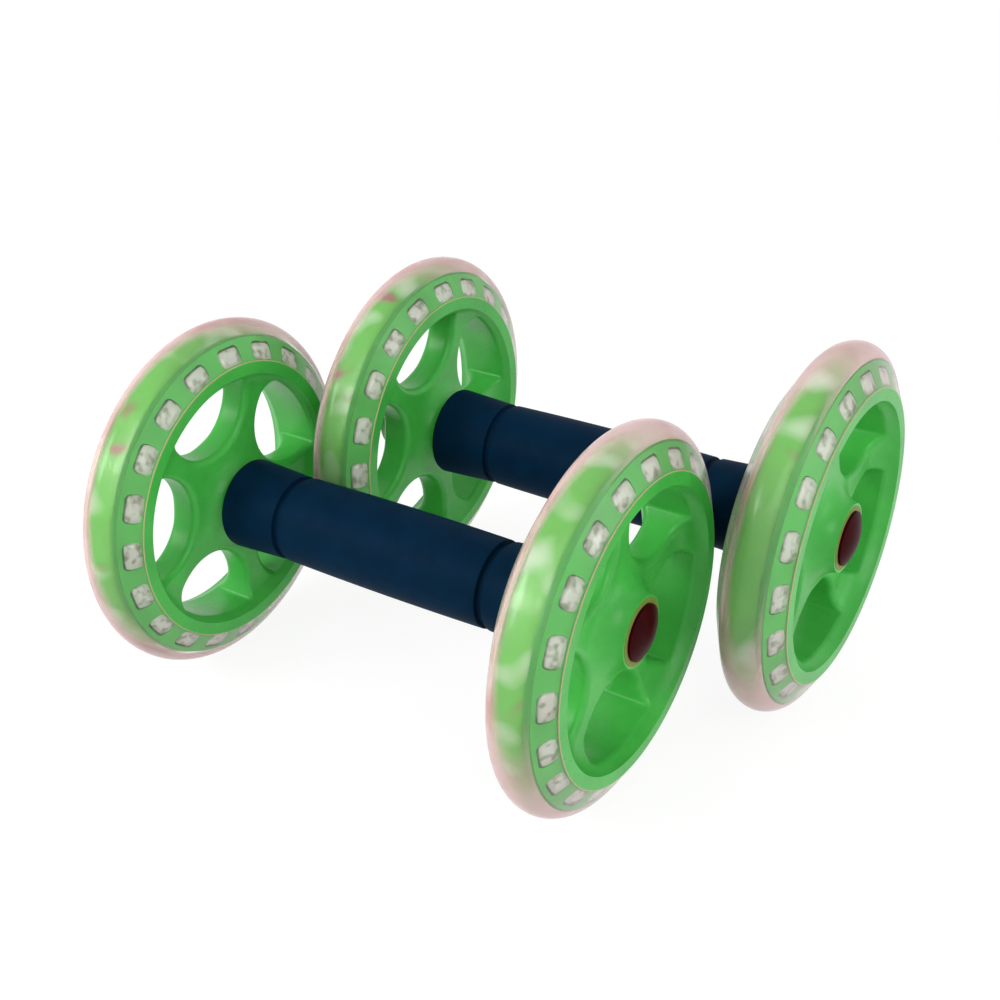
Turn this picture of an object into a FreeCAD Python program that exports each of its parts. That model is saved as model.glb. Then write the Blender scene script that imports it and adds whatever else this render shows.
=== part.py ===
import FreeCAD, Part
import math
import os

# A pair of two-wheeled hand rollers for floor exercise. Millimetres, +Z up, +X along the axles,
# +Y the way the rollers roll. The origin is on the floor, midway between the two rollers.

# Wheel, outside of the clear tyre
wheel_diameter = 150.0
wheel_width = 28.0
wheel_spacing = 187.0
tyre_height = 15.5
shoulder_drop = 5.0
bevel_depth = 5.7
tyre_skin = 1.0

# Green core: lip rings, perforated flanges and dished web
lip_ring = 5.0
rim_draft = 2.4
flange_wall = 2.5
flange_cover = 1.4
window_count = 20
window_length = 12.0
window_height_share = 0.66
window_foot = 0.4
window_corner_share = 0.35
window_turn = -2.9
web_thickness = 13.6
web_offset = 2.2
rim_bend = 12.4
hub_bend = 10.8
spoke_count = 5
spoke_waist = 10.2
spoke_round_share = 0.42

# Openings between the spokes: round, and cut off by the rim
opening_inner_end = 24.2
opening_corner = 1.4

# Hub: boss, bushes and the recess under the cap
boss_radius = 14.0
boss_setback = 0.5
inner_boss_reach = 1.9
recess_radius = 10.0
recess_depth = 9.5
bush_wall = 1.95
bush_gap = 0.7
bush_flange_radius = 9.0
bush_flange = 1.5
bush_stand = 0.3

# Axle and what is threaded on it
axle_diameter = 10.0
spigot_diameter = 8.0
bush_clearance = 0.05
end_play = 0.3
washer_diameter = 16.0
inner_washer = 1.0
outer_washer = 1.5
nut_across_flats = 13.0
nut_height = 6.5
nut_sides = 6
spigot_proud = 0.5

# Hub cap
cap_overlap = 1.0
cap_edge = 1.2
cap_dome = 2.6
cap_skirt = 4.0
cap_wall = 1.4
cap_ceiling_gap = 0.8

# Handle: tube, end plugs and grip
tube_diameter = 29.0
tube_wall = 2.5
plug_flange = 2.0
plug_spigot = 12.0
grip_wall = 3.7
grip_neck_drop = 0.5
grip_end_swell = 0.7
grip_end_section = 26.0
grip_edge_round = 1.6
groove_width = 3.0
groove_depth = 1.9

# The pair on the floor: the second roller stands behind the first, shifted along the axle
pair_shift = 40.0
pair_gap = 2.0

# Turn of the wheels at rest, in degrees from +Y towards +Z
left_wheel_turn = 28.0
right_wheel_turn = 50.0

# Cuts run past the faces that they open
overrun = 5.0

FULL_TURN = 360.0
HALF_TURN = 180.0
MATCH = 1e-4
ORIGIN = FreeCAD.Vector(0, 0, 0)
X_AXIS = FreeCAD.Vector(1, 0, 0)
Z_AXIS = FreeCAD.Vector(0, 0, 1)

crown_radius = wheel_diameter / 2
half_width = wheel_width / 2
wheel_x = wheel_spacing / 2
shoulder_radius = crown_radius - shoulder_drop
shoulder_half = half_width - bevel_depth
lip_radius = crown_radius - tyre_height
lip_inner_radius = lip_radius - lip_ring
rim_wall_radius = lip_inner_radius - rim_draft
web_half = web_thickness / 2

# The openings leave the waist of a spoke between neighbours
opening_centre = (opening_inner_end - spoke_waist / 2) / (1 - math.sin(math.pi / spoke_count))
opening_radius = opening_centre - opening_inner_end

# The flanges lie parallel to the tyre's bevel, so along the axle a wall is thicker than across
bevel_rise = shoulder_radius - lip_radius
window_height = bevel_rise * window_height_share
bevel_cosine = bevel_rise / math.hypot(bevel_depth, bevel_rise)
skin_along_axle = tyre_skin / bevel_cosine
flange_along_axle = flange_wall / bevel_cosine
flange_tip_radius = shoulder_radius - flange_cover

axle_radius = axle_diameter / 2
spigot_radius = spigot_diameter / 2
bush_bore = axle_radius + bush_clearance
hub_bore = bush_bore + bush_wall
washer_radius = washer_diameter / 2

# Places along the axle in the wheel's own frame, with the cap side at +X
boss_end = half_width - boss_setback
recess_floor = boss_end - recess_depth
inner_boss_end = half_width + inner_boss_reach
inner_counterbore = inner_boss_end + bush_stand - bush_flange
bush_length = (recess_floor + inner_counterbore - bush_gap) / 2
axle_shoulder = recess_floor + bush_flange + end_play
nut_seat = axle_shoulder + outer_washer
spigot_end = nut_seat + nut_height + spigot_proud

# Places along the axle from the middle of the roller
plug_face = wheel_x - inner_boss_end - bush_stand - end_play - inner_washer
tube_end = plug_face - plug_flange

tube_radius = tube_diameter / 2
tube_bore = tube_radius - tube_wall
grip_radius = tube_radius + grip_wall
grip_neck_radius = grip_radius - grip_neck_drop
grip_end_radius = grip_radius + grip_end_swell
pair_depth = crown_radius + grip_end_radius + pair_gap


def point(x, r):
    return FreeCAD.Vector(x, r, 0)


def line(start, end):
    return Part.LineSegment(start, end).toShape()


def arc(start, middle, end):
    return Part.Arc(start, middle, end).toShape()


def chain(points):
    return [line(start, end) for start, end in zip(points, points[1:])]


def revolved(edges):
    """Solid of revolution about the axle from the edges of a closed section."""
    section = Part.Face(Part.Wire(Part.__sortEdges__(edges)))
    return section.revolve(ORIGIN, X_AXIS, FULL_TURN)


def closed(points):
    return chain(points + points[:1])


def ring(x0, x1, inner, outer):
    return revolved(closed([point(x0, inner), point(x1, inner), point(x1, outer), point(x0, outer)]))


def rod(x0, x1, radius):
    return Part.makeCylinder(radius, x1 - x0, point(x0, 0), X_AXIS)


def turned(shape, degrees):
    copy = shape.copy()
    copy.rotate(ORIGIN, X_AXIS, degrees)
    return copy


def swapped(shape):
    """The same piece turned end for end, for the other side of the roller."""
    copy = shape.copy()
    copy.rotate(ORIGIN, Z_AXIS, HALF_TURN)
    return copy


def moved(shape, x, y=0, z=0):
    copy = shape.copy()
    copy.translate(FreeCAD.Vector(x, y, z))
    return copy


def flare(side, top_x, wall_radius, bend, outward):
    """Ends and edge of an arc that leaves the web tangentially and ends at a wall along the axle."""
    web_x = web_half - side * web_offset
    sweep = math.acos(1 - (top_x - web_x) / bend)
    foot_radius = wall_radius + outward * bend * math.sin(sweep)
    middle_radius = foot_radius - outward * bend * math.sin(sweep / 2)
    foot = point(side * web_x, foot_radius)
    middle = point(side * (web_x + bend * (1 - math.cos(sweep / 2))), middle_radius)
    top = point(side * top_x, wall_radius)
    return foot, top, arc(foot, middle, top)


def flange_line(side, depth_along_axle):
    """Foot and tip of a line parallel to the bevel, sunk below it by a depth along the axle."""
    foot_x = half_width - depth_along_axle
    tip_x = foot_x - (flange_tip_radius - lip_radius) * bevel_depth / bevel_rise
    return point(side * foot_x, lip_radius), point(side * tip_x, flange_tip_radius)


def core_side(side, recess, boss_face):
    """Edges of one side of the core's section, from the hub bore to the trough between the flanges."""
    hub_foot, hub_top, hub_arc = flare(side, boss_end, boss_radius, hub_bend, 1)
    rim_foot, rim_top, rim_arc = flare(side, half_width, lip_inner_radius, rim_bend, -1)
    outer_foot, outer_tip = flange_line(side, skin_along_axle)
    inner_foot, inner_tip = flange_line(side, skin_along_axle + flange_along_axle)
    boss_edge = [] if boss_face == boss_end else [point(side * boss_face, boss_radius)]
    hub_edges = chain(recess + boss_edge + [hub_top])
    lip = point(side * half_width, lip_radius)
    rim_edges = chain([rim_top, lip, outer_foot, outer_tip, inner_tip, inner_foot])
    return hub_edges + [hub_arc, line(hub_foot, rim_foot), rim_arc] + rim_edges, inner_foot


def axial_edges(prism, depth):
    """Edges of a prism that run along the axle."""
    return [edge for edge in prism.Edges if abs(edge.BoundBox.XLength - depth) < MATCH]


def spoke_opening():
    """Prism of one opening: a circle between two spokes, cut off by the rim's wall, with rounded corners."""
    start_x = -half_width - overrun
    depth = wheel_width + 2 * overrun
    corner_y = (opening_centre ** 2 + rim_wall_radius ** 2 - opening_radius ** 2) / (2 * opening_centre)
    corner_z = math.sqrt(rim_wall_radius ** 2 - corner_y ** 2)
    low = FreeCAD.Vector(start_x, corner_y, -corner_z)
    high = FreeCAD.Vector(start_x, corner_y, corner_z)
    inner = arc(low, point(start_x, opening_inner_end), high)
    outer = arc(high, point(start_x, rim_wall_radius), low)
    prism = Part.Face(Part.Wire([inner, outer])).extrude(X_AXIS * depth)
    return prism.makeFillet(opening_corner, axial_edges(prism, depth))


def opening_edges(body, openings):
    """Edges all round the spoke openings on both sides of the core."""
    walls = Part.makeCompound([opening.Shells[0] for opening in openings])

    def on_rim(edge):
        middle = edge.valueAt((edge.FirstParameter + edge.LastParameter) / 2)
        across = edge.BoundBox.YLength + edge.BoundBox.ZLength
        return across > MATCH and walls.distToShape(Part.Vertex(middle))[0] < MATCH

    return [edge for edge in body.Edges if on_rim(edge)]


def window_prism():
    """Prism of one window, along the axle through both flanges, with rounded corners."""
    corner = FreeCAD.Vector(-half_width, lip_radius + window_foot, -window_length / 2)
    block = Part.makeBox(wheel_width, window_height, window_length, corner)
    return block.makeFillet(window_height * window_corner_share, axial_edges(block, wheel_width))


def wheel_core():
    """Green moulding: hub, saddle-shaped spokes, lip rings and two perforated flanges."""
    cap_recess = [point(recess_floor, hub_bore), point(recess_floor, recess_radius)]
    cap_recess.append(point(boss_end, recess_radius))
    bush_recess = [point(-inner_counterbore, hub_bore), point(-inner_counterbore, bush_flange_radius)]
    bush_recess.append(point(-inner_boss_end, bush_flange_radius))
    outer_edges, outer_trough = core_side(1, cap_recess, boss_end)
    inner_edges, inner_trough = core_side(-1, bush_recess, inner_boss_end)
    bore_and_trough = [line(cap_recess[0], bush_recess[0]), line(outer_trough, inner_trough)]
    body = revolved(outer_edges + inner_edges + bore_and_trough)
    opening = spoke_opening()
    openings = [turned(opening, k * FULL_TURN / spoke_count) for k in range(spoke_count)]
    body = body.cut(openings)
    body = body.makeFillet(web_half * spoke_round_share, opening_edges(body, openings))
    window = window_prism()
    turns = [window_turn + k * FULL_TURN / window_count for k in range(window_count)]
    return body.cut([turned(window, turn) for turn in turns])


def wheel_tyre(core):
    """Clear tyre: round tread, bevelled sides and everything that fills the core's trough and windows."""
    lip_right = point(half_width, lip_radius)
    lip_left = point(-half_width, lip_radius)
    shoulder_right = point(shoulder_half, shoulder_radius)
    shoulder_left = point(-shoulder_half, shoulder_radius)
    tread = arc(shoulder_right, point(0, crown_radius), shoulder_left)
    sides = [line(lip_right, shoulder_right), line(shoulder_left, lip_left), line(lip_left, lip_right)]
    return revolved(sides + [tread]).cut(core)


def outer_bush():
    """Flanged bush on the cap side; its flange lies on the floor of the recess."""
    barrel = ring(recess_floor - bush_length, recess_floor, bush_bore, hub_bore)
    flange = ring(recess_floor, recess_floor + bush_flange, bush_bore, bush_flange_radius)
    return barrel.fuse(flange).removeSplitter()


def inner_bush():
    """Flanged bush on the grip side; its flange stands proud of the hub."""
    barrel = ring(-inner_counterbore, bush_length - inner_counterbore, bush_bore, hub_bore)
    flange = ring(-inner_counterbore - bush_flange, -inner_counterbore, bush_bore, bush_flange_radius)
    return barrel.fuse(flange).removeSplitter()


def hub_cap():
    """Domed cap: a rim on the end of the boss, a skirt in the recess and room for the nut inside."""
    rim_radius = recess_radius + cap_overlap
    edge_x = boss_end + cap_edge
    top_x = edge_x + cap_dome
    ceiling_x = spigot_end + cap_ceiling_gap
    dome_radius = (rim_radius ** 2 + cap_dome ** 2) / (2 * cap_dome)
    half_angle = math.asin(rim_radius / dome_radius) / 2
    crest = point(top_x - dome_radius * (1 - math.cos(half_angle)), dome_radius * math.sin(half_angle))
    skirt_end = boss_end - cap_skirt
    skirt_bore = recess_radius - cap_wall
    edge = point(edge_x, rim_radius)
    top = point(top_x, 0)
    inside = [point(ceiling_x, 0), point(ceiling_x, skirt_bore), point(skirt_end, skirt_bore)]
    outside = [point(skirt_end, recess_radius), point(boss_end, recess_radius), point(boss_end, rim_radius)]
    return revolved([arc(edge, crest, top)] + chain([top] + inside + outside + [edge]))


def axle():
    """Steel rod with a thinner spigot at each end; the outer washers seat on its shoulders."""
    shoulder = wheel_x + axle_shoulder
    end = wheel_x + spigot_end
    return rod(-shoulder, shoulder, axle_radius).fuse([rod(-end, end, spigot_radius)]).removeSplitter()


def lock_nut():
    """Hexagon nut on the spigot, against the outer washer."""
    corner = nut_across_flats / 2 / math.cos(math.pi / nut_sides)
    start = wheel_x + nut_seat
    turns = [2 * math.pi * k / nut_sides for k in range(nut_sides)]
    corners = [FreeCAD.Vector(start, corner * math.cos(a), corner * math.sin(a)) for a in turns]
    hexagon = Part.Face(Part.makePolygon(corners + corners[:1]))
    return hexagon.extrude(X_AXIS * nut_height).cut(rod(start, start + nut_height, spigot_radius))


def end_plug():
    """Plug that closes the tube and carries it on the axle."""
    spigot = ring(tube_end - plug_spigot, tube_end, axle_radius, tube_bore)
    flange = ring(tube_end, plug_face, axle_radius, tube_radius)
    return spigot.fuse(flange).removeSplitter()


def grip():
    """Soft sleeve: a slightly swollen middle, a groove near each end and ends that widen outwards."""
    groove_end = plug_face - grip_end_section
    groove_start = groove_end - groove_width
    floor_radius = grip_neck_radius - groove_depth
    round_inset = grip_edge_round * (1 - math.cos(math.pi / 4))
    necks = [point(side * groove_start, grip_neck_radius) for side in (1, -1)]
    edges = [arc(necks[0], point(0, grip_radius), necks[1])]
    for side, neck in zip((1, -1), necks):
        groove = [point(side * groove_start, floor_radius), point(side * groove_end, floor_radius)]
        groove.append(point(side * groove_end, grip_neck_radius))
        widest = point(side * (plug_face - grip_edge_round), grip_end_radius)
        bend = point(side * (plug_face - round_inset), grip_end_radius - round_inset)
        end = point(side * plug_face, grip_end_radius - grip_edge_round)
        edges += chain([neck] + groove + [widest])
        edges += [arc(widest, bend, end), line(end, point(side * plug_face, tube_radius))]
    edges.append(line(point(-plug_face, tube_radius), point(plug_face, tube_radius)))
    return revolved(edges)


def both_sides(piece):
    return Part.makeCompound([piece, swapped(piece)])


def wheel_pieces():
    core = wheel_core()
    return {
        "wheel_core": core,
        "tyre": wheel_tyre(core),
        "inner_bush": inner_bush(),
        "outer_bush": outer_bush(),
        "hub_cap": hub_cap(),
    }


def roller_pieces():
    """All pieces of one roller, with its axle along X through the origin."""
    seat = wheel_x + axle_shoulder
    plug = end_plug()
    pieces = {
        "axle": axle(),
        "handle_tube": ring(-tube_end, tube_end, tube_bore, tube_radius),
        "grip": grip(),
        "right_end_plug": plug,
        "left_end_plug": swapped(plug),
        "inner_washers": both_sides(ring(plug_face, plug_face + inner_washer, axle_radius, washer_radius)),
        "outer_washers": both_sides(ring(seat, seat + outer_washer, spigot_radius, washer_radius)),
        "lock_nuts": both_sides(lock_nut()),
    }
    for name, shape in wheel_pieces().items():
        pieces["right_" + name] = moved(turned(shape, right_wheel_turn), wheel_x)
        pieces["left_" + name] = moved(turned(swapped(shape), HALF_TURN + left_wheel_turn), -wheel_x)
    return pieces


def main():
    os.makedirs("parts", exist_ok=True)
    places = {"front": (-pair_shift / 2, -pair_depth / 2), "rear": (pair_shift / 2, pair_depth / 2)}
    for name, shape in roller_pieces().items():
        for roller, (x, y) in places.items():
            moved(shape, x, y, crown_radius).exportStep("parts/" + roller + "_" + name + ".step")


main()
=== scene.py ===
import math
import bpy
from bpy.props import FloatProperty, FloatVectorProperty, IntProperty, PointerProperty
from mathutils import Matrix, Vector


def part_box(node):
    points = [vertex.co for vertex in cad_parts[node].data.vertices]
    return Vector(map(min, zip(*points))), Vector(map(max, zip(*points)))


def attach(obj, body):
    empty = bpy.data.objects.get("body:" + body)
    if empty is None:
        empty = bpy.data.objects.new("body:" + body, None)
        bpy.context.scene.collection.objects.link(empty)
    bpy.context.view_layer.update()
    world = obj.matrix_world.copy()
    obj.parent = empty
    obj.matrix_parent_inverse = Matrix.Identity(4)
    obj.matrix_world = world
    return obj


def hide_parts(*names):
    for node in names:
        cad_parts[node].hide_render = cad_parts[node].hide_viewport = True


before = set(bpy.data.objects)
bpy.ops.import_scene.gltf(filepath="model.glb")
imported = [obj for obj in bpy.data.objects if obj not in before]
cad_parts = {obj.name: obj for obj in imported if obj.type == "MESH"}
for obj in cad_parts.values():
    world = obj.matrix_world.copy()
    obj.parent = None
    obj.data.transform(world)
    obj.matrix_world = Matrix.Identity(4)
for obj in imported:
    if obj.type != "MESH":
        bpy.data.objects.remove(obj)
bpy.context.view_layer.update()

bl_info = {
    "name": "Floor Roller Dresser",
    "version": (1, 0, 0),
    "blender": (4, 5, 0),
    "location": "View3D > Sidebar > Rollers",
    "description": "Dresses a pair of two-wheeled floor rollers: tyres, cores, grips, fittings and a stage",
    "category": "Object",
}

ROLLERS = ("front", "rear")
SIDES = ("left", "right")
WHEELS = [roller + "_" + side for roller in ROLLERS for side in SIDES]
AXLE = (1.0, 0.0, 0.0)
FULL_TURN = 2 * math.pi
QUARTER_TURN = math.pi / 2
MERGE = 1e-6
WHITE = (1.0, 1.0, 1.0, 1.0)

# Steps of the outlines, and cuts of the swollen band and of the blocks
TREAD_STEPS = 28
BEVEL_STEPS = 6
BAND_STEPS = 8
BEAD_CORNERS = 8
GROOVE_STEPS = 4
SLOPE_STEPS = 8
END_STEPS = 6
BARREL_STEPS = 24
SWELL_CUTS = 5
BLOCK_CUTS = 2

# Edges that turn by more degrees than this stay sharp: on finely stepped pieces, the grips and coarse pieces
FINE_ANGLE = 30
GRIP_ANGLE = 40
COARSE_ANGLE = 60

# Places of the colour sockets among those of a Mix node
MIX_FIRST, MIX_SECOND, MIX_RESULT = 6, 7, 2


def length(name, description, default):
    return FloatProperty(name=name, description=description, default=default, unit="LENGTH", precision=5)


def watts(name, description, default):
    return FloatProperty(name=name, description=description, default=default, unit="POWER")


def colour(name, description, default):
    return FloatVectorProperty(name=name, description=description, default=default, size=3, subtype="COLOR",
                               min=0.0, max=1.0)


class RollerTyreSizes(bpy.types.PropertyGroup):
    """Sizes of the clear tyre and of the blocks, beads, band and milky layer in it."""

    lip_radius: length("Lip radius", "Radius at which the tyre meets the lip of the core", 0.0595)
    foot_radius: length("Foot radius", "Radius of the tyre's foot, which is sunk into the core", 0.0588)
    foot_inset: length("Foot inset", "How far the foot lies inside the lip along the axle", 0.0012)
    shoulder_drop: length("Shoulder drop", "How far the shoulder lies below the crown of the tread", 0.005)
    bevel_depth: length("Bevel depth", "How far the bevelled side runs in along the axle", 0.0057)
    edge_bead: length("Edge bead", "Radius of the bead where the tyre ends on the lip", 0.00036)
    window_length: length("Window length", "Length of a window round the wheel", 0.012)
    window_height: length("Window height", "Height of a window outwards from the lip", 0.00693)
    window_foot: length("Window foot", "Distance from the lip to a window", 0.0004)
    window_gap: length("Window gap", "Gap between a block and the edge of its window", 0.0001)
    window_cover: length("Window cover", "Depth of a block below the bevelled side, along the axle", 0.0006)
    bloom_depth: length("Bloom depth", "Depth of the milky layer below the tyre's surface", 0.00015)
    bloom_skin: length("Bloom skin", "Thickness of the milky layer", 0.0001)
    flange_depth: length("Flange depth", "Depth of the flange's far side below the bevelled side", 0.00398)
    window_pillow: FloatProperty(name="Window pillow", description="How far a block is rounded to a ball",
                                 default=0.5, min=0.0, max=1.0, subtype="FACTOR")
    band_radius: length("Band radius", "Radius of the band under the tread", 0.0684)
    band_crown: length("Band crown", "How much the band rises in the middle", 0.0004)
    band_half: length("Band half width", "Half the width of the band", 0.0052)
    band_depth: length("Band depth", "Thickness of the band", 0.0012)
    band_swell: FloatProperty(name="Band swell", description="How far the facets of the band swell",
                              default=0.5, min=0.0, max=1.0)
    windows: IntProperty(name="Windows", description="Windows in each flange", default=20, min=3)
    left_turn: FloatProperty(name="Left turn", description="Turn of the first window of the left wheels",
                             default=math.radians(30.9), subtype="ANGLE")
    right_turn: FloatProperty(name="Right turn", description="Turn of the first window of the right wheels",
                              default=math.radians(47.1), subtype="ANGLE")
    steps: IntProperty(name="Steps", description="Steps of the tyre round the wheel", default=192, min=24)


class RollerCapRingSizes(bpy.types.PropertyGroup):
    """Sizes of the ring round the hub cap."""

    ring_inner: length("Inner radius", "Inner radius of the ring", 0.01105)
    ring_outer: length("Outer radius", "Outer radius of the ring", 0.0131)
    ring_inset: length("Inset", "How far the ring's foot lies inside the wheel's side", 0.0006)
    ring_height: length("Height", "Height of the ring along the axle", 0.0003)
    steps: IntProperty(name="Steps", description="Steps of the ring round the axle", default=96, min=24)


class RollerGripSizes(bpy.types.PropertyGroup):
    """Sizes of the soft grip."""

    barrel_radius: length("Barrel radius", "Radius in the middle of the grip", 0.0182)
    neck_radius: length("Neck radius", "Radius beside the grooves", 0.0177)
    bore_radius: length("Bore radius", "Radius of the hole for the tube", 0.01452)
    end_section: length("End section", "Length of the part outside each groove", 0.026)
    groove_width: length("Groove width", "Width of a groove", 0.003)
    groove_depth: length("Groove depth", "Depth of a groove", 0.0019)
    groove_round: length("Groove round", "Rounding of the groove's edges", 0.0005)
    end_round: length("End round", "Rounding of the grip's ends", 0.0016)
    steps: IntProperty(name="Steps", description="Steps of the grip round the axle", default=128, min=24)


class RollerColours(bpy.types.PropertyGroup):
    """Colours of the materials."""

    urethane: colour("Urethane", "Clear tyre", (0.98, 0.99, 0.90))
    urethane_edge: colour("Urethane edge", "Clear tyre seen at a flat angle", (0.93, 0.70, 0.74))
    bloom: colour("Bloom", "Milky layer of the tyre", (0.82, 0.58, 0.62))
    bloom_shade: colour("Bloom shade", "Redder clouds in the milky layer", (0.66, 0.34, 0.38))
    block: colour("Window block", "Blocks of urethane in the windows", (0.90, 0.92, 0.88))
    # Painted shade: dark greenish streaks in the window blocks stand in for light bent away
    block_painted_streak: colour("Window streak", "Dark streaks in the blocks", (0.34, 0.39, 0.28))
    core: colour("Core", "Moulded wheel core", (0.062, 0.47, 0.066))
    core_shade: colour("Core shade", "Darker flow marks in the core", (0.050, 0.40, 0.056))
    grip: colour("Grip", "Soft grip", (0.0006, 0.0155, 0.041))
    grip_shade: colour("Grip shade", "Darker grain of the grip", (0.0005, 0.0130, 0.034))
    cap: colour("Cap", "Hub cap", (0.038, 0.0012, 0.0028))
    cap_shade: colour("Cap shade", "Darker flow marks in the cap", (0.029, 0.0009, 0.0021))
    band: colour("Band", "Band of the core under the tread", (0.085, 0.36, 0.040))
    # Painted highlight: whitish patches on the band stand in for soft reflections of the lamps
    band_painted_highlight: colour("Band pale", "Pale patches of the band", (0.46, 0.58, 0.45))
    # Painted refraction: reddish patches on the band stand in for light from the windows bent by the tyre
    band_painted_refraction: colour("Band red", "Red patches of the band", (0.24, 0.12, 0.09))
    # The bead's olive is partly its own colour and partly a painted highlight line along the tyre's edge
    bead_and_highlight: colour("Bead", "Bead at the edge of the tyre", (0.44, 0.42, 0.20))
    # Olive colour of the flat ring round the foot of the hub cap
    cap_ring: colour("Seal", "Ring round the hub cap", (0.20, 0.24, 0.045))
    steel: colour("Steel", "Axle, washers and nuts", (0.55, 0.55, 0.56))
    bush: colour("Bush", "Bearing bushes", (0.62, 0.60, 0.55))
    plug: colour("Plug", "Tube and its end plugs", (0.018, 0.018, 0.021))


class RollerStage(bpy.types.PropertyGroup):
    """Light, floor and camera."""

    floor_size: length("Floor size", "Width of the floor", 12.0)
    ambient: FloatProperty(name="Ambient", description="Strength of the light from all round",
                           default=0.71, min=0.0)
    key_power: watts("Key power", "Power of the key light", 5.4)
    fill_power: watts("Fill power", "Power of the fill light", 3.4)
    side_power: watts("Side power", "Power of the side light", 1.0)
    shadow_share: FloatProperty(name="Shadow share", description="How much of the shadow shows on the floor",
                                default=0.18, min=0.0, max=0.9, subtype="FACTOR")
    focal: FloatProperty(name="Focal length", description="Focal length of the camera in millimetres",
                         default=52.52)


def sizes_of(node):
    """Middle, half width along the axle and outer radius of a round CAD node."""
    low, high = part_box(node)
    return (low + high) / 2, (high.x - low.x) / 2, (high.z - low.z) / 2


def wheels():
    """Each wheel's name, with the middle, half width and crown radius of its tyre."""
    for wheel in WHEELS:
        yield (wheel, *sizes_of(wheel + "_tyre"))


def arc_points(centre, radius, start, end, count):
    """Points on an arc in the plane of axle and radius, its ends included."""
    turns = [start + (end - start) * k / count for k in range(count + 1)]
    return [(centre[0] + radius * math.cos(a), centre[1] + radius * math.sin(a)) for a in turns]


def deselect():
    if bpy.context.object is not None and bpy.context.object.mode != "OBJECT":
        bpy.ops.object.mode_set(mode="OBJECT")
    bpy.ops.object.select_all(action="DESELECT")


def close_up():
    """Merges what spinning or copying left double, and turns all faces outwards."""
    bpy.ops.mesh.select_all(action="SELECT")
    bpy.ops.mesh.remove_doubles(threshold=MERGE)
    bpy.ops.mesh.normals_make_consistent(inside=False)


def spun(name, outline, centre, steps):
    """Traces a closed outline of points along the axle and outwards by extruding one point, and spins it."""
    deselect()
    bpy.ops.mesh.primitive_plane_add(size=MERGE, location=centre)
    piece = bpy.context.object
    piece.name = name
    piece.data.name = name
    bpy.ops.object.transform_apply(location=True, rotation=True, scale=True)
    bpy.ops.object.mode_set(mode="EDIT")
    bpy.ops.mesh.select_all(action="SELECT")
    bpy.ops.mesh.merge(type="CENTER")
    x, r = outline[0]
    bpy.ops.transform.translate(value=(x, 0, r))
    for (x0, r0), (x1, r1) in zip(outline, outline[1:] + outline[:1]):
        bpy.ops.mesh.extrude_vertices_move(TRANSFORM_OT_translate={"value": (x1 - x0, 0, r1 - r0)})
    close_up()
    bpy.ops.mesh.spin(steps=steps, angle=FULL_TURN, center=centre, axis=AXLE)
    close_up()
    bpy.ops.object.mode_set(mode="OBJECT")
    return piece


def smooth(piece, degrees):
    bpy.ops.object.shade_smooth_by_angle(angle=math.radians(degrees))
    return piece


def swell(piece, shortest, bulge):
    """Divides the edges that run round the wheel and swells the facets between them."""
    bpy.ops.object.mode_set(mode="EDIT")
    bpy.ops.mesh.select_mode(type="EDGE")
    bpy.ops.mesh.select_all(action="DESELECT")
    bpy.ops.object.mode_set(mode="OBJECT")
    places = [vertex.co for vertex in piece.data.vertices]
    for edge in piece.data.edges:
        first, second = (places[k] for k in edge.vertices)
        edge.select = abs(first.x - second.x) < MERGE and (first - second).length > shortest
    bpy.ops.object.mode_set(mode="EDIT")
    bpy.ops.mesh.subdivide(number_cuts=SWELL_CUTS, smoothness=bulge)
    bpy.ops.mesh.select_mode(type="VERT")
    bpy.ops.object.mode_set(mode="OBJECT")


def wear(piece, material, body):
    """Gives a finished piece its material, body and material slot."""
    piece.data.materials.clear()
    piece.data.materials.append(material)
    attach(piece, body)


def group(name, inputs, outputs):
    """Empty shader node group with these sockets; each input is a name, a kind and a default."""
    tree = bpy.data.node_groups.new(name, "ShaderNodeTree")
    for label, kind, default in inputs:
        tree.interface.new_socket(label, in_out="INPUT", socket_type=kind).default_value = default
    for label, kind in outputs:
        tree.interface.new_socket(label, in_out="OUTPUT", socket_type=kind)
    return tree, tree.nodes.new("NodeGroupInput").outputs, tree.nodes.new("NodeGroupOutput").inputs


def give(tree, socket, value):
    """Sets an input to a number or links it to a socket."""
    if isinstance(value, float):
        socket.default_value = value
    else:
        tree.links.new(value, socket)


def noise(tree, vector, scale, detail, roughness=0.5):
    """Noise texture; scale and detail are numbers or sockets."""
    node = tree.nodes.new("ShaderNodeTexNoise")
    tree.links.new(vector, node.inputs["Vector"])
    give(tree, node.inputs["Scale"], scale)
    give(tree, node.inputs["Detail"], detail)
    node.inputs["Roughness"].default_value = roughness
    return node.outputs["Fac"]


def spread(tree, value, given, wanted):
    """Maps a value from one range to another; the ends are numbers or sockets."""
    node = tree.nodes.new("ShaderNodeMapRange")
    tree.links.new(value, node.inputs["Value"])
    for label, end in zip(("From Min", "From Max", "To Min", "To Max"), (*given, *wanted)):
        give(tree, node.inputs[label], end)
    return node.outputs["Result"]


def mixed(tree, factor, first, second):
    """Mix of two colours given as sockets."""
    node = tree.nodes.new("ShaderNodeMix")
    node.data_type = "RGBA"
    tree.links.new(factor, node.inputs["Factor"])
    tree.links.new(first, node.inputs[MIX_FIRST])
    tree.links.new(second, node.inputs[MIX_SECOND])
    return node.outputs[MIX_RESULT]


def object_coordinates(tree):
    return tree.nodes.new("ShaderNodeTexCoord").outputs["Object"]


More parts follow.
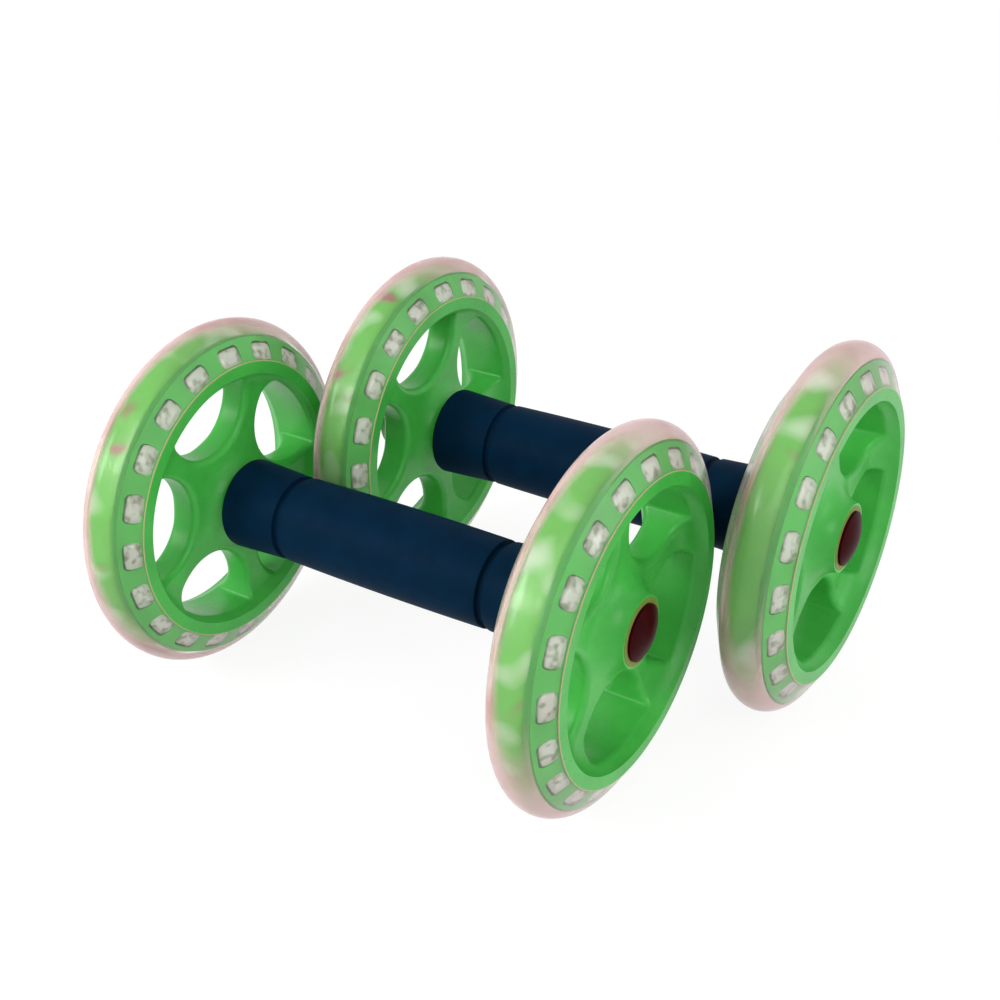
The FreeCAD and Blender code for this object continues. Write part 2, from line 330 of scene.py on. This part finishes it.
def moulded_group():
    """Flow marks and fine grain of a moulded surface."""
    grey = (0.5, 0.5, 0.5, 1.0)
    inputs = [("Color", "NodeSocketColor", grey), ("Shade", "NodeSocketColor", grey),
              ("Flow Scale", "NodeSocketFloat", 40.0), ("Grain Scale", "NodeSocketFloat", 1500.0),
              ("Smoothest", "NodeSocketFloat", 0.3), ("Roughest", "NodeSocketFloat", 0.5)]
    outputs = [("Color", "NodeSocketColor"), ("Roughness", "NodeSocketFloat"), ("Height", "NodeSocketFloat")]
    tree, given, result = group("Moulded Surface", inputs, outputs)
    place = object_coordinates(tree)
    flow = noise(tree, place, given["Flow Scale"], detail=3.0, roughness=0.55)
    grain = noise(tree, place, given["Grain Scale"], detail=2.0)
    marks = spread(tree, flow, (0.38, 0.62), (0.0, 1.0))
    tree.links.new(mixed(tree, marks, given["Shade"], given["Color"]), result["Color"])
    gloss = spread(tree, grain, (0.3, 0.7), (given["Smoothest"], given["Roughest"]))
    tree.links.new(gloss, result["Roughness"])
    tree.links.new(grain, result["Height"])
    return tree


def clouds_and_painted_patches_group():
    """Clouds of a cast clear material, also used for painted streaks, painted highlight patches and painted
    reddish refraction patches.
    """
    inputs = [("Clear", "NodeSocketColor", WHITE), ("Cloud", "NodeSocketColor", WHITE),
              ("Scale", "NodeSocketFloat", 60.0), ("Detail", "NodeSocketFloat", 1.0),
              ("Low", "NodeSocketFloat", 0.4), ("High", "NodeSocketFloat", 0.6)]
    outputs = [("Color", "NodeSocketColor"), ("Cloud", "NodeSocketFloat"), ("Height", "NodeSocketFloat")]
    tree, given, result = group("Cast Clouds and Painted Patches", inputs, outputs)
    place = object_coordinates(tree)
    clouds = noise(tree, place, given["Scale"], given["Detail"], roughness=0.6)
    share = spread(tree, clouds, (given["Low"], given["High"]), (0.0, 1.0))
    tree.links.new(mixed(tree, share, given["Clear"], given["Cloud"]), result["Color"])
    tree.links.new(share, result["Cloud"])
    tree.links.new(clouds, result["Height"])
    return tree


def material(name):
    made = bpy.data.materials.new(name)
    made.use_nodes = True
    return made, made.node_tree, made.node_tree.nodes["Principled BSDF"]


def placed(tree, kind, **values):
    """A node group placed in a material, with its own values."""
    node = tree.nodes.new("ShaderNodeGroup")
    node.node_tree = bpy.data.node_groups.get(kind) or GROUPS[kind]()
    for label, value in values.items():
        node.inputs[label.replace("_", " ")].default_value = value
    return node.outputs


def bumped(tree, shader, height, strength, distance):
    node = tree.nodes.new("ShaderNodeBump")
    node.inputs["Strength"].default_value = strength
    node.inputs["Distance"].default_value = distance
    tree.links.new(height, node.inputs["Height"])
    tree.links.new(node.outputs["Normal"], shader.inputs["Normal"])


def opaque(rgb):
    return (*rgb, 1.0)


def moulded(name, rgb, shade, flow, grain, smoothest, roughest, specular, bump):
    """Moulded plastic, rubber or cast part, with flow marks and grain."""
    made, tree, shader = material(name)
    surface = placed(tree, "Moulded Surface", Color=opaque(rgb), Shade=opaque(shade), Flow_Scale=flow,
                     Grain_Scale=grain, Smoothest=smoothest, Roughest=roughest)
    tree.links.new(surface["Color"], shader.inputs["Base Color"])
    tree.links.new(surface["Roughness"], shader.inputs["Roughness"])
    shader.inputs["Specular IOR Level"].default_value = specular
    bumped(tree, shader, surface["Height"], strength=bump, distance=0.0001)
    return made


def show_mix(tree, factor, first, second, output="Material Output"):
    """Shows a mix of two shaders' outputs."""
    mix = tree.nodes.new("ShaderNodeMixShader")
    for socket, source in zip(mix.inputs, (factor, first, second)):
        tree.links.new(source, socket)
    tree.links.new(mix.outputs["Shader"], tree.nodes[output].inputs["Surface"])


def let_lamps_through(tree, shader, tint):
    """Lamps' rays pass the clear material, so that what lies in it is lit."""
    path = tree.nodes.new("ShaderNodeLightPath")
    film = tree.nodes.new("ShaderNodeBsdfTransparent")
    film.inputs["Color"].default_value = opaque(tint)
    show_mix(tree, path.outputs["Is Shadow Ray"], shader.outputs["BSDF"], film.outputs["BSDF"])


def clear_urethane(colours):
    """Glossy clear urethane with faint clouds, pink where it is seen at a flat angle."""
    made, tree, shader = material("clear_urethane")
    cloud_pattern = placed(tree, "Cast Clouds and Painted Patches", Clear=opaque(colours.urethane), Cloud=opaque(colours.urethane_edge),
                  Scale=55.0, Detail=4.0, Low=0.5, High=0.95)
    weight = tree.nodes.new("ShaderNodeLayerWeight")
    edge = tree.nodes.new("ShaderNodeRGB")
    edge.outputs["Color"].default_value = opaque(colours.urethane_edge)
    flat = spread(tree, weight.outputs["Facing"], (0.4, 0.75), (0.0, 1.0))
    tree.links.new(mixed(tree, flat, cloud_pattern["Color"], edge.outputs["Color"]), shader.inputs["Base Color"])
    tree.links.new(spread(tree, cloud_pattern["Cloud"], (0.0, 1.0), (0.2, 0.3)), shader.inputs["Roughness"])
    shader.inputs["Transmission Weight"].default_value = 0.95
    shader.inputs["IOR"].default_value = 1.3
    shader.inputs["Sheen Weight"].default_value = 0.35
    shader.inputs["Sheen Roughness"].default_value = 0.4
    shader.inputs["Sheen Tint"].default_value = opaque((1.0, 0.74, 0.79))
    bumped(tree, shader, cloud_pattern["Height"], strength=0.05, distance=0.0006)
    let_lamps_through(tree, shader, tint=(0.98, 0.97, 0.96))
    return made


def milky_bloom(colours):
    """Pink milky layer in the tyre, which shows where it is seen at a flat angle."""
    made, tree, shader = material("milky_bloom")
    cloud_pattern = placed(tree, "Cast Clouds and Painted Patches", Clear=opaque(colours.bloom), Cloud=opaque(colours.bloom_shade),
                  Scale=45.0, Detail=1.0, Low=0.45, High=0.7)
    tree.links.new(cloud_pattern["Color"], shader.inputs["Base Color"])
    shader.inputs["Roughness"].default_value = 0.6
    shader.inputs["Specular IOR Level"].default_value = 0.0
    weight = tree.nodes.new("ShaderNodeLayerWeight")
    film = tree.nodes.new("ShaderNodeBsdfTransparent")
    cover = spread(tree, weight.outputs["Facing"], (0.15, 0.3), (0.0, 0.5))
    show_mix(tree, cover, film.outputs["BSDF"], shader.outputs["BSDF"])
    return made


def band_plastic(colours):
    """Glossy core plastic under the tread, with painted highlight patches and painted reddish patches of
    light bent by the tyre.
    """
    made, tree, shader = material("band_plastic")
    # Painted highlight: whitish patches mixed into the band's green
    painted_highlight = placed(tree, "Cast Clouds and Painted Patches", Clear=opaque(colours.band), Cloud=opaque(colours.band_painted_highlight),
                  Scale=58.0, Detail=0.5, Low=0.52, High=0.72)
    # Painted refraction: reddish patches of light bent by the tyre
    painted_refraction = placed(tree, "Cast Clouds and Painted Patches", Clear=opaque(colours.band), Cloud=opaque(colours.band_painted_refraction),
                 Scale=85.0, Detail=0.5, Low=0.62, High=0.78)
    tree.links.new(mixed(tree, painted_refraction["Cloud"], painted_highlight["Color"], painted_refraction["Color"]), shader.inputs["Base Color"])
    tree.links.new(spread(tree, painted_highlight["Cloud"], (0.0, 1.0), (0.25, 0.15)), shader.inputs["Roughness"])
    shader.inputs["Specular IOR Level"].default_value = 0.4
    return made


def window_urethane(colours):
    """Thick urethane in the windows: whitish, with painted dark greenish streaks standing in for light bent
    away.
    """
    made, tree, shader = material("window_urethane")
    # Painted shade: dark streaks where light is bent away
    cloud_pattern = placed(tree, "Cast Clouds and Painted Patches", Clear=opaque(colours.block), Cloud=opaque(colours.block_painted_streak),
                  Scale=270.0, Detail=1.0, Low=0.48, High=0.68)
    tree.links.new(cloud_pattern["Color"], shader.inputs["Base Color"])
    tree.links.new(spread(tree, cloud_pattern["Cloud"], (0.0, 1.0), (0.06, 0.2)), shader.inputs["Roughness"])
    shader.inputs["Transmission Weight"].default_value = 0.5
    shader.inputs["IOR"].default_value = 1.5
    shader.inputs["Coat Weight"].default_value = 0.8
    shader.inputs["Coat Roughness"].default_value = 0.05
    bumped(tree, shader, cloud_pattern["Height"], strength=0.5, distance=0.001)
    let_lamps_through(tree, shader, tint=(0.9, 0.86, 0.86))
    return made


def turned_steel(colours):
    """Bright steel with fine turning marks round the axle."""
    made, tree, shader = material("turned_steel")
    stretch = tree.nodes.new("ShaderNodeMapping")
    stretch.inputs["Scale"].default_value = (60.0, 1.0, 1.0)
    tree.links.new(object_coordinates(tree), stretch.inputs["Vector"])
    marks = noise(tree, stretch.outputs["Vector"], scale=60.0, detail=3.0)
    tree.links.new(spread(tree, marks, (0.3, 0.7), (0.22, 0.42)), shader.inputs["Roughness"])
    shader.inputs["Base Color"].default_value = opaque(colours.steel)
    shader.inputs["Metallic"].default_value = 1.0
    bumped(tree, shader, marks, strength=0.2, distance=0.00005)
    return made


GROUPS = {"Moulded Surface": moulded_group, "Cast Clouds and Painted Patches": clouds_and_painted_patches_group}


def dress(nodes, made):
    """Gives CAD nodes a material."""
    for name in nodes:
        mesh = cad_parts[name].data
        mesh.materials.clear()
        mesh.materials.append(made)


def tread_points(sizes, half_width, crown):
    """Points across the round tread, from shoulder to shoulder."""
    shoulder_x = half_width - sizes.bevel_depth
    shoulder = crown - sizes.shoulder_drop
    round_radius = (shoulder_x ** 2 + sizes.shoulder_drop ** 2) / (2 * sizes.shoulder_drop)
    middle = crown - round_radius
    start = math.atan2(shoulder - middle, shoulder_x)
    return arc_points((0.0, middle), round_radius, start, math.pi - start, TREAD_STEPS)


def tyre_outline(sizes, half_width, crown):
    """Closed outline of the tyre: foot in the core, bevelled sides and a round tread."""
    tread = tread_points(sizes, half_width, crown)
    shoulder_x, shoulder = tread[0]
    lip = sizes.lip_radius
    right = []
    for k in range(BEVEL_STEPS):
        share = k / BEVEL_STEPS
        right.append((half_width + (shoulder_x - half_width) * share, lip + (shoulder - lip) * share))
    left = [(-x, r) for x, r in reversed(right)]
    foot_x = half_width - sizes.foot_inset
    return [(-foot_x, sizes.foot_radius), (foot_x, sizes.foot_radius)] + right + tread + left


def window_blocks(name, sizes, centre, half_width, crown, turn):
    """Pillow-shaped blocks in all windows of both flanges: one is shaped, then copied round and across."""
    tilt = math.atan2(sizes.bevel_depth, crown - sizes.shoulder_drop - sizes.lip_radius)
    height = (sizes.window_height - 2 * sizes.window_gap) / math.cos(tilt)
    width = sizes.window_length - 2 * sizes.window_gap
    depth = (sizes.flange_depth - sizes.window_cover) * math.cos(tilt)
    sunk = sizes.window_cover * math.cos(tilt) + depth / 2
    rise = sizes.window_foot + sizes.window_height / 2
    place_x = half_width - rise * math.tan(tilt) - sunk * math.cos(tilt)
    place = centre + Vector((place_x, 0.0, sizes.lip_radius + rise - sunk * math.sin(tilt)))
    deselect()
    bpy.ops.mesh.primitive_cube_add(size=1.0, location=place)
    piece = bpy.context.object
    piece.name = name
    piece.data.name = name
    bpy.ops.object.transform_apply(location=True, rotation=True, scale=True)
    bpy.ops.object.mode_set(mode="EDIT")
    bpy.ops.mesh.select_all(action="SELECT")
    bpy.ops.mesh.subdivide(number_cuts=BLOCK_CUTS)
    bpy.ops.transform.tosphere(value=sizes.window_pillow, center_override=place)
    bpy.ops.object.mode_set(mode="OBJECT")
    offsets = [vertex.co - place for vertex in piece.data.vertices]
    reach = [2 * max(abs(offset[axis]) for offset in offsets) for axis in range(3)]
    bpy.ops.object.mode_set(mode="EDIT")
    scale = (depth / reach[0], width / reach[1], height / reach[2])
    bpy.ops.transform.resize(value=scale, center_override=place)
    bpy.ops.transform.rotate(value=tilt, orient_axis="Y", center_override=place)
    bpy.ops.transform.rotate(value=QUARTER_TURN - turn, orient_axis="X", center_override=centre)
    step = FULL_TURN / sizes.windows
    bpy.ops.mesh.spin(steps=sizes.windows - 1, dupli=True, angle=FULL_TURN - step, center=centre, axis=AXLE)
    bpy.ops.mesh.select_all(action="SELECT")
    bpy.ops.mesh.duplicate()
    bpy.ops.transform.resize(value=(-1, 1, 1), center_override=centre)
    close_up()
    bpy.ops.object.mode_set(mode="OBJECT")
    return piece


def bloom_outline(sizes, half_width, crown):
    """Closed outline of the thin milky layer just below the tread."""
    surface = tread_points(sizes, half_width, crown)
    layers = []
    for depth in (sizes.bloom_depth, sizes.bloom_depth + sizes.bloom_skin):
        share = 1 - depth / half_width
        layers.append([(x * share, r - depth) for x, r in surface])
    return layers[0] + layers[1][::-1]


def band_outline(sizes):
    """Green band under the tread, flush with the tips of the flanges."""
    low = sizes.band_radius - sizes.band_depth
    reach = sizes.band_half
    across = [1 - 2 * k / BAND_STEPS for k in range(BAND_STEPS + 1)]
    top = [(reach * share, sizes.band_radius + sizes.band_crown * (1 - share ** 2)) for share in across]
    return [(-reach, low), (reach, low)] + top


def joined(pieces):
    """One object made of several."""
    deselect()
    for piece in pieces:
        piece.select_set(True)
    bpy.context.view_layer.objects.active = pieces[0]
    bpy.ops.object.join()
    return pieces[0]


def edge_beads(name, sizes, centre, half_width):
    """Thin beads where the tyre ends on the lips, one on each side of the wheel."""
    reach = half_width - sizes.edge_bead
    last = FULL_TURN * (1 - 1 / BEAD_CORNERS)
    beads = []
    for side in (1, -1):
        outline = arc_points((side * reach, sizes.lip_radius), sizes.edge_bead, 0.0, last, BEAD_CORNERS - 1)
        beads.append(spun(name, outline, centre, sizes.steps))
    return joined(beads)


def cap_ring_outline(sizes, half_width, side):
    """Flat ring on the end of the boss, round the foot of the cap."""
    low = side * (half_width - sizes.ring_inset)
    high = low + side * sizes.ring_height
    inner, outer = sizes.ring_inner, sizes.ring_outer
    return [(low, inner), (high, inner), (high, outer), (low, outer)]


def grip_outline(sizes, half_length, end_radius):
    """Closed outline of the grip: swollen barrel, two grooves, widening ends and the bore."""
    groove_end = half_length - sizes.end_section
    groove_start = groove_end - sizes.groove_width
    neck = sizes.neck_radius
    floor = neck - sizes.groove_depth
    edge = sizes.groove_round
    bulge = sizes.barrel_radius - neck
    sag = (groove_start ** 2 + bulge ** 2) / (2 * bulge)
    outer_start = groove_end + edge
    slope_run = half_length - sizes.end_round - outer_start
    # Each rounded corner of the groove: its centre, and the quarter turns at which it starts and ends
    corners = ((groove_start - edge, neck - edge, 1, 0), (groove_start + edge, floor + edge, 2, 3),
               (groove_end - edge, floor + edge, 3, 4), (groove_end + edge, neck - edge, 2, 1))
    right = []
    for x, r, first, last in corners:
        right += arc_points((x, r), edge, first * QUARTER_TURN, last * QUARTER_TURN, GROOVE_STEPS)
    slope = [k / SLOPE_STEPS for k in range(1, SLOPE_STEPS)]
    right += [(outer_start + slope_run * share, neck + (end_radius - neck) * share) for share in slope]
    right += arc_points((half_length - sizes.end_round, end_radius - sizes.end_round), sizes.end_round,
                        QUARTER_TURN, 0.0, END_STEPS)
    right.append((half_length, sizes.bore_radius))
    reach = groove_start - edge
    top = sizes.barrel_radius - sag
    across = [reach * (2 * k / BARREL_STEPS - 1) for k in range(1, BARREL_STEPS)]
    barrel = [(x, top + math.sqrt(sag ** 2 - x ** 2)) for x in across]
    left = [(-x, r) for x, r in reversed(right)]
    return left + barrel + right


class ROLLER_OT_cast_tyres(bpy.types.Operator):
    """Casts the clear tyres over the flanges of the cores"""

    bl_idname = "roller.cast_tyres"
    bl_label = "Cast Tyres"

    def execute(self, context):
        sizes = context.scene.roller_tyre
        clear = clear_urethane(context.scene.roller_colours)
        for wheel, centre, half_width, crown in wheels():
            node = wheel + "_tyre"
            outline = tyre_outline(sizes, half_width, crown)
            tyre = smooth(spun(wheel + "_clear_tyre", outline, centre, sizes.steps), FINE_ANGLE)
            wear(tyre, clear, wheel + "_wheel")
            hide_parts(node)
        return {"FINISHED"}


class ROLLER_OT_fill_windows(bpy.types.Operator):
    """Fills the windows of the cores with blocks of thick urethane"""

    bl_idname = "roller.fill_windows"
    bl_label = "Fill Windows"

    def execute(self, context):
        sizes = context.scene.roller_tyre
        thick = window_urethane(context.scene.roller_colours)
        for wheel, centre, half_width, crown in wheels():
            turn = sizes.left_turn if "left" in wheel else sizes.right_turn
            blocks = window_blocks(wheel + "_window_blocks", sizes, centre, half_width, crown, turn)
            wear(smooth(blocks, COARSE_ANGLE), thick, wheel + "_wheel")
        return {"FINISHED"}


class ROLLER_OT_set_beads(bpy.types.Operator):
    """Sets the thin beads where the tyres end on the lips of the cores"""

    bl_idname = "roller.set_beads"
    bl_label = "Set Edge Beads"

    def execute(self, context):
        sizes = context.scene.roller_tyre
        colours = context.scene.roller_colours
        # Bead colour: partly the bead's own, partly a painted highlight line
        bead_and_highlight = moulded("bead_urethane_and_highlight", colours.bead_and_highlight, colours.bead_and_highlight, flow=200.0, grain=1500.0,
                       smoothest=0.25, roughest=0.4, specular=0.3, bump=0.05)
        for wheel, centre, half_width, _ in wheels():
            beads = smooth(edge_beads(wheel + "_edge_beads", sizes, centre, half_width), COARSE_ANGLE)
            wear(beads, bead_and_highlight, wheel + "_wheel")
        return {"FINISHED"}


class ROLLER_OT_lay_bands(bpy.types.Operator):
    """Lays the swollen green bands under the treads"""

    bl_idname = "roller.lay_bands"
    bl_label = "Lay Tread Bands"

    def execute(self, context):
        sizes = context.scene.roller_tyre
        green = band_plastic(context.scene.roller_colours)
        for wheel, centre, _, _ in wheels():
            band = spun(wheel + "_tread_band", band_outline(sizes), centre, sizes.windows)
            swell(band, 2 * sizes.band_depth, sizes.band_swell)
            wear(smooth(band, FINE_ANGLE), green, wheel + "_wheel")
        return {"FINISHED"}


class ROLLER_OT_add_bloom(bpy.types.Operator):
    """Adds the thin milky layers just below the treads"""

    bl_idname = "roller.add_bloom"
    bl_label = "Add Tyre Bloom"

    def execute(self, context):
        sizes = context.scene.roller_tyre
        milk = milky_bloom(context.scene.roller_colours)
        for wheel, centre, half_width, crown in wheels():
            outline = bloom_outline(sizes, half_width, crown)
            bloom = smooth(spun(wheel + "_tyre_bloom", outline, centre, sizes.steps), FINE_ANGLE)
            wear(bloom, milk, wheel + "_wheel")
        return {"FINISHED"}


class ROLLER_OT_fit_grips(bpy.types.Operator):
    """Turns the soft grips with their grooves and fits them on the tubes"""

    bl_idname = "roller.fit_grips"
    bl_label = "Fit Grips"

    def execute(self, context):
        sizes = context.scene.roller_grip
        colours = context.scene.roller_colours
        rubber = moulded("grip_rubber", colours.grip, colours.grip_shade, flow=90.0, grain=2600.0,
                         smoothest=0.48, roughest=0.66, specular=0.03, bump=0.25)
        for roller in ROLLERS:
            node = roller + "_grip"
            centre, half_length, end_radius = sizes_of(node)
            outline = grip_outline(sizes, half_length, end_radius)
            grip = smooth(spun(roller + "_soft_grip", outline, centre, sizes.steps), GRIP_ANGLE)
            wear(grip, rubber, roller + "_handle")
            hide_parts(node)
        return {"FINISHED"}


class ROLLER_OT_finish_cores(bpy.types.Operator):
    """Gives the wheel cores and hub caps their moulded finish"""

    bl_idname = "roller.finish_cores"
    bl_label = "Finish Cores and Caps"

    def execute(self, context):
        colours = context.scene.roller_colours
        core = moulded("core_plastic", colours.core, colours.core_shade, flow=45.0, grain=1400.0,
                       smoothest=0.26, roughest=0.4, specular=0.32, bump=0.12)
        cap = moulded("cap_plastic", colours.cap, colours.cap_shade, flow=120.0, grain=1800.0,
                      smoothest=0.32, roughest=0.46, specular=0.03, bump=0.12)
        dress([wheel + "_wheel_core" for wheel in WHEELS], core)
        dress([wheel + "_hub_cap" for wheel in WHEELS], cap)
        return {"FINISHED"}


class ROLLER_OT_fit_cap_rings(bpy.types.Operator):
    """Fits the flat rings round the hub caps"""

    bl_idname = "roller.fit_seals"
    bl_label = "Fit Cap Rings"

    def execute(self, context):
        sizes = context.scene.roller_seal
        colours = context.scene.roller_colours
        rubber = moulded("cap_ring_finish", colours.cap_ring, colours.cap_ring, flow=200.0, grain=1500.0,
                         smoothest=0.4, roughest=0.55, specular=0.15, bump=0.1)
        for wheel, centre, half_width, _ in wheels():
            outline = cap_ring_outline(sizes, half_width, -1 if "left" in wheel else 1)
            ring = smooth(spun(wheel + "_cap_ring", outline, centre, sizes.steps), FINE_ANGLE)
            wear(ring, rubber, wheel + "_wheel")
        return {"FINISHED"}


class ROLLER_OT_finish_fittings(bpy.types.Operator):
    """Gives the axles, washers, nuts, bushes, tubes and plugs their finish"""

    bl_idname = "roller.finish_fittings"
    bl_label = "Finish Fittings"

    def execute(self, context):
        colours = context.scene.roller_colours
        steel = turned_steel(colours)
        bush = moulded("bush_plastic", colours.bush, colours.bush, flow=80.0, grain=1500.0,
                       smoothest=0.4, roughest=0.55, specular=0.4, bump=0.1)
        plug = moulded("plug_plastic", colours.plug, colours.plug, flow=80.0, grain=1500.0,
                       smoothest=0.45, roughest=0.6, specular=0.3, bump=0.15)
        for owners, names, made in ((ROLLERS, ("axle", "inner_washers", "outer_washers", "lock_nuts"), steel),
                                    (ROLLERS, ("handle_tube", "left_end_plug", "right_end_plug"), plug),
                                    (WHEELS, ("inner_bush", "outer_bush"), bush)):
            dress([owner + "_" + name for owner in owners for name in names], made)
        return {"FINISHED"}


def seen_directly(tree):
    """1 for rays that show the background itself, also in gloss and through glass, and 0 for light."""
    path = tree.nodes.new("ShaderNodeLightPath").outputs
    total = path["Is Camera Ray"]
    for label in ("Is Glossy Ray", "Is Transmission Ray"):
        node = tree.nodes.new("ShaderNodeMath")
        node.operation = "MAXIMUM"
        tree.links.new(total, node.inputs[0])
        tree.links.new(path[label], node.inputs[1])
        total = node.outputs["Value"]
    return total


def white_world(scene, ambient):
    """Soft light from all round, in front of a white background."""
    world = bpy.data.worlds.new("studio")
    scene.world = world
    world.use_nodes = True
    tree = world.node_tree
    light = tree.nodes["Background"]
    light.inputs["Strength"].default_value = ambient
    light.inputs["Color"].default_value = WHITE
    white = tree.nodes.new("ShaderNodeBackground")
    white.inputs["Color"].default_value = WHITE
    shaders = light.outputs["Background"], white.outputs["Background"]
    show_mix(tree, seen_directly(tree), *shaders, output="World Output")


PAPER = 0.955   # mean whiteness of the floor
FIBRES = 0.015  # how far its fibres differ from that


def white_floor(size, shadow_share, ambient):
    """Pale floor that shows as white as the background and keeps a faint shadow."""
    deselect()
    bpy.ops.mesh.primitive_plane_add(size=size, location=(0.0, 0.0, 0.0))
    floor = bpy.context.object
    floor.name = "studio_floor"
    made, tree, shader = material("floor_paper")
    shader.inputs["Roughness"].default_value = 0.9
    shader.inputs["Specular IOR Level"].default_value = 0.0
    fibres = noise(tree, object_coordinates(tree), scale=400.0, detail=2.0)
    grey = spread(tree, fibres, (0.3, 0.7), (PAPER - FIBRES, PAPER + FIBRES))
    tree.links.new(grey, shader.inputs["Base Color"])
    white = tree.nodes.new("ShaderNodeEmission")
    white.inputs["Color"].default_value = WHITE
    white.inputs["Strength"].default_value = (1.0 - shadow_share * PAPER * ambient) / (1.0 - shadow_share)
    share = tree.nodes.new("ShaderNodeMath")
    share.operation = "MULTIPLY"
    share.inputs[1].default_value = 1.0 - shadow_share
    tree.links.new(seen_directly(tree), share.inputs[0])
    show_mix(tree, share.outputs["Value"], shader.outputs["BSDF"], white.outputs["Emission"])
    floor.data.materials.append(made)


# Places and sizes of the lamps, and the point at which they aim
KEY_PLACE, KEY_SIZE = (-0.55, -0.80, 0.62), 0.4
FILL_PLACE, FILL_SIZE = (0.9, -0.5, 0.8), 0.6
SIDE_PLACE, SIDE_SIZE = (1.1, 0.45, 0.35), 0.4
LAMPS_AIM = (0.0, 0.0, 0.07)


def soft_lamp(name, place, size, power):
    deselect()
    bpy.ops.object.light_add(type="AREA", location=place)
    lamp = bpy.context.object
    lamp.name = name
    lamp.data.energy = power
    lamp.data.size = size
    lamp.rotation_euler = (Vector(LAMPS_AIM) - Vector(place)).to_track_quat("-Z", "Y").to_euler()


# The camera at the photograph's viewing angle: its place, its three directions and the shift of its frame
CAMERA_PLACE = (0.27400, -0.43469, 0.38537)
CAMERA_RIGHT = (0.819487, 0.570629, -0.053137)
CAMERA_UP = (-0.268534, 0.464241, 0.844020)
CAMERA_LOOK = (-0.506291, 0.677395, -0.533672)
CAMERA_SHIFT = (0.0931, 0.0421)
CAMERA_SENSOR = 36.0
CAMERA_CLIP = 0.01


def add_camera(scene, focal):
    data = bpy.data.cameras.new("camera")
    camera = bpy.data.objects.new("camera", data)
    scene.collection.objects.link(camera)
    data.sensor_width = CAMERA_SENSOR
    data.lens = focal
    data.shift_x, data.shift_y = CAMERA_SHIFT
    data.clip_start = CAMERA_CLIP
    back = [-v for v in CAMERA_LOOK]
    turn = Matrix((CAMERA_RIGHT, CAMERA_UP, back)).transposed()
    camera.matrix_world = Matrix.Translation(CAMERA_PLACE) @ turn.to_4x4()
    scene.camera = camera


class ROLLER_OT_set_stage(bpy.types.Operator):
    """Sets the pale floor, the soft light and the camera"""

    bl_idname = "roller.set_stage"
    bl_label = "Set Stage"

    def execute(self, context):
        scene = context.scene
        stage = scene.roller_stage
        scene.view_settings.view_transform = "Standard"
        white_world(scene, stage.ambient)
        white_floor(stage.floor_size, stage.shadow_share, stage.ambient)
        soft_lamp("key_light", KEY_PLACE, KEY_SIZE, stage.key_power)
        soft_lamp("fill_light", FILL_PLACE, FILL_SIZE, stage.fill_power)
        soft_lamp("side_light", SIDE_PLACE, SIDE_SIZE, stage.side_power)
        add_camera(scene, stage.focal)
        return {"FINISHED"}


class ROLLER_PT_sidebar(bpy.types.Panel):
    """Lists the steps that dress the rollers"""

    bl_idname = "ROLLER_PT_sidebar"
    bl_label = "Rollers"
    bl_space_type = "VIEW_3D"
    bl_region_type = "UI"
    bl_category = "Rollers"

    def draw(self, context):
        for step in STEPS:
            self.layout.operator(step.bl_idname)


STEPS = (ROLLER_OT_cast_tyres, ROLLER_OT_fill_windows, ROLLER_OT_set_beads, ROLLER_OT_lay_bands,
         ROLLER_OT_add_bloom, ROLLER_OT_fit_grips, ROLLER_OT_finish_cores, ROLLER_OT_fit_cap_rings,
         ROLLER_OT_finish_fittings, ROLLER_OT_set_stage)
SETTINGS = {"roller_tyre": RollerTyreSizes, "roller_seal": RollerCapRingSizes, "roller_grip": RollerGripSizes,
            "roller_colours": RollerColours, "roller_stage": RollerStage}


def register():
    for kind in (*SETTINGS.values(), *STEPS, ROLLER_PT_sidebar):
        bpy.utils.register_class(kind)
    for name, kind in SETTINGS.items():
        setattr(bpy.types.Scene, name, PointerProperty(type=kind))


def unregister():
    for name in SETTINGS:
        delattr(bpy.types.Scene, name)
    for kind in (ROLLER_PT_sidebar, *reversed(STEPS), *reversed(SETTINGS.values())):
        bpy.utils.unregister_class(kind)


def main():
    register()
    bpy.ops.roller.cast_tyres()
    bpy.ops.roller.fill_windows()
    bpy.ops.roller.set_beads()
    bpy.ops.roller.lay_bands()
    bpy.ops.roller.add_bloom()
    bpy.ops.roller.fit_grips()
    bpy.ops.roller.finish_cores()
    bpy.ops.roller.fit_seals()
    bpy.ops.roller.finish_fittings()
    bpy.ops.roller.set_stage()


if __name__ == "__main__":
    main()
